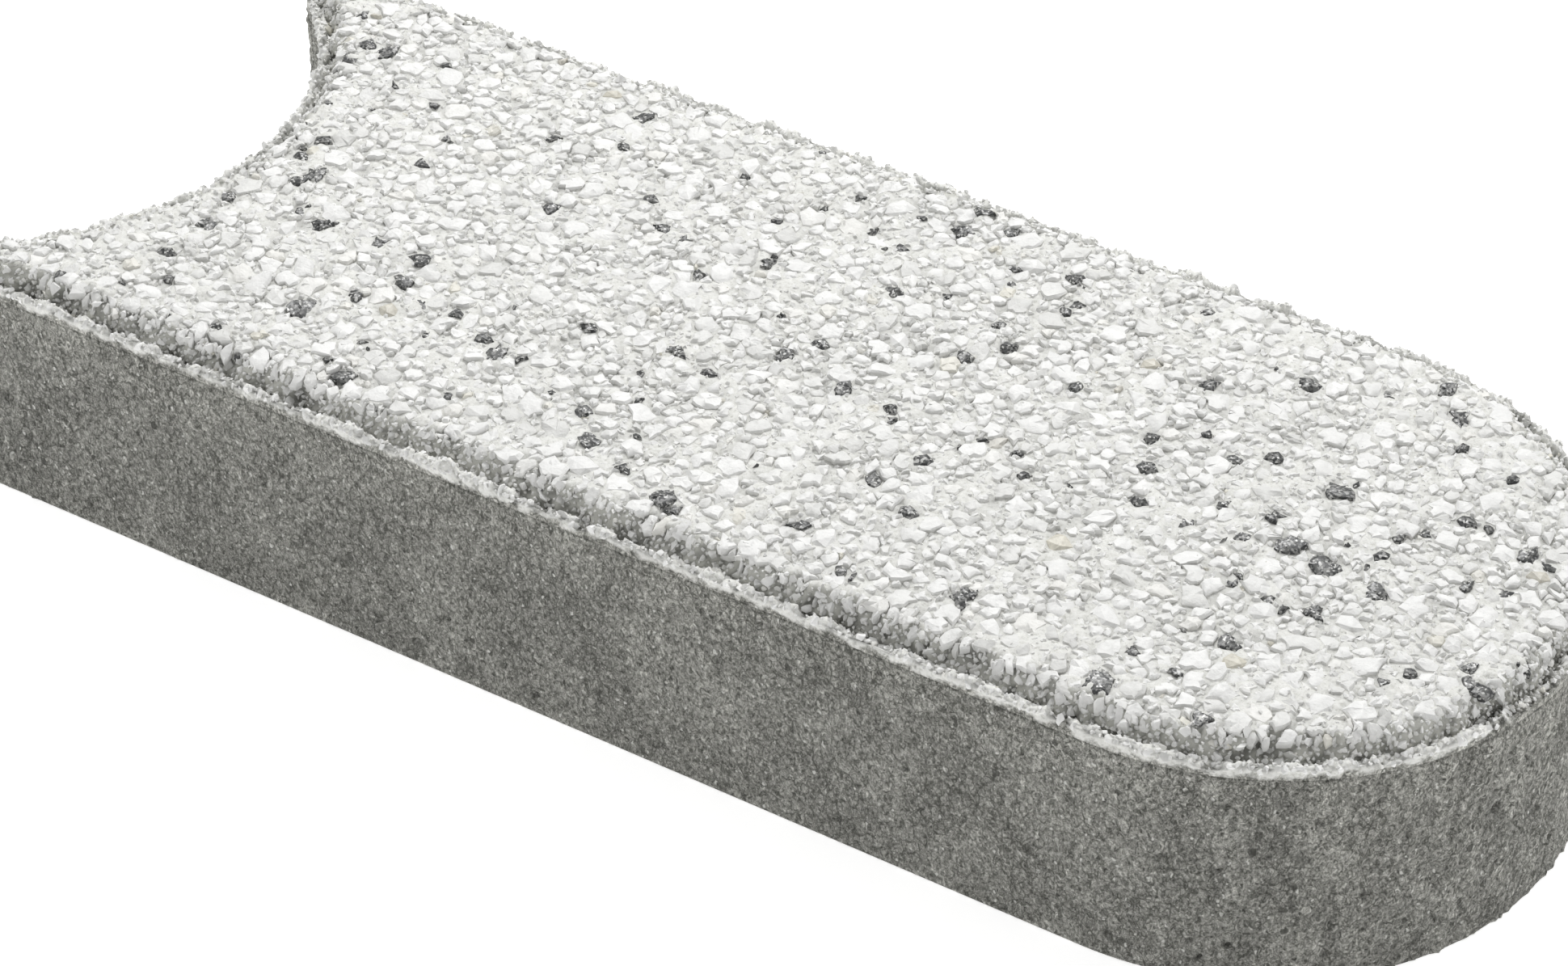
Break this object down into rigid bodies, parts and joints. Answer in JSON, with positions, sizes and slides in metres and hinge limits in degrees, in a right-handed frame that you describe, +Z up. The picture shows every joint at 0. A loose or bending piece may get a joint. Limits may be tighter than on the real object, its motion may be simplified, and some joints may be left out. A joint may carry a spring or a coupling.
{
  "type": "concrete edging stone",
  "caption": "Flat two-layer concrete edging stone with a convex half-round end, a matching concave end and a bevelled exposed-aggregate face.",
  "frame": {"origin": "middle of the bounding box in plan, on the bed face", "axes": "+X along the stone from the concave end to the convex end, +Y across it, +Z up out of the exposed-aggregate face"},
  "size_m": [0.3, 0.12, 0.052],
  "materials": {
    "core_concrete": "rough cast, matt",
    "facing_mortar": "washed, matt",
    "basalt_chip": "broken, satin",
    "marble_chip": "broken, satin",
    "quartz_pebble": "worn, satin"
  },
  "bodies": {
    "root": {"core_concrete": "core_concrete", "facing_mortar": "facing_mortar", "basalt_chip_01": "basalt_chip", "basalt_chip_02": "basalt_chip", "basalt_chip_03": "basalt_chip", "basalt_chip_04": "basalt_chip", "basalt_chip_05": "basalt_chip", "basalt_chip_06": "basalt_chip", "basalt_chip_07": "basalt_chip", "basalt_chip_08": "basalt_chip", "basalt_chip_09": "basalt_chip", "basalt_chip_10": "basalt_chip", "basalt_chip_11": "basalt_chip", "basalt_chip_12": "basalt_chip", "basalt_chip_13": "basalt_chip", "basalt_chip_14": "basalt_chip", "basalt_chip_15": "basalt_chip", "basalt_chip_16": "basalt_chip", "basalt_chip_17": "basalt_chip", "basalt_chip_18": "basalt_chip", "basalt_chip_19": "basalt_chip", "basalt_chip_20": "basalt_chip", "basalt_chip_21": "basalt_chip", "basalt_chip_22": "basalt_chip", "basalt_chip_23": "basalt_chip", "basalt_chip_24": "basalt_chip", "marble_chip_01": "marble_chip", "marble_chip_02": "marble_chip", "marble_chip_03": "marble_chip", "marble_chip_04": "marble_chip", "marble_chip_05": "marble_chip", "marble_chip_06": "marble_chip", "marble_chip_07": "marble_chip", "marble_chip_08": "marble_chip", "marble_chip_09": "marble_chip", "marble_chip_10": "marble_chip", "marble_chip_11": "marble_chip", "marble_chip_12": "marble_chip", "marble_chip_13": "marble_chip", "marble_chip_14": "marble_chip", "marble_chip_15": "marble_chip", "marble_chip_16": "marble_chip", "marble_chip_17": "marble_chip", "marble_chip_18": "marble_chip", "quartz_pebble_01": "quartz_pebble", "quartz_pebble_02": "quartz_pebble", "quartz_pebble_03": "quartz_pebble", "quartz_pebble_04": "quartz_pebble", "quartz_pebble_05": "quartz_pebble", "quartz_pebble_06": "quartz_pebble"}
  },
  "joints": []
}
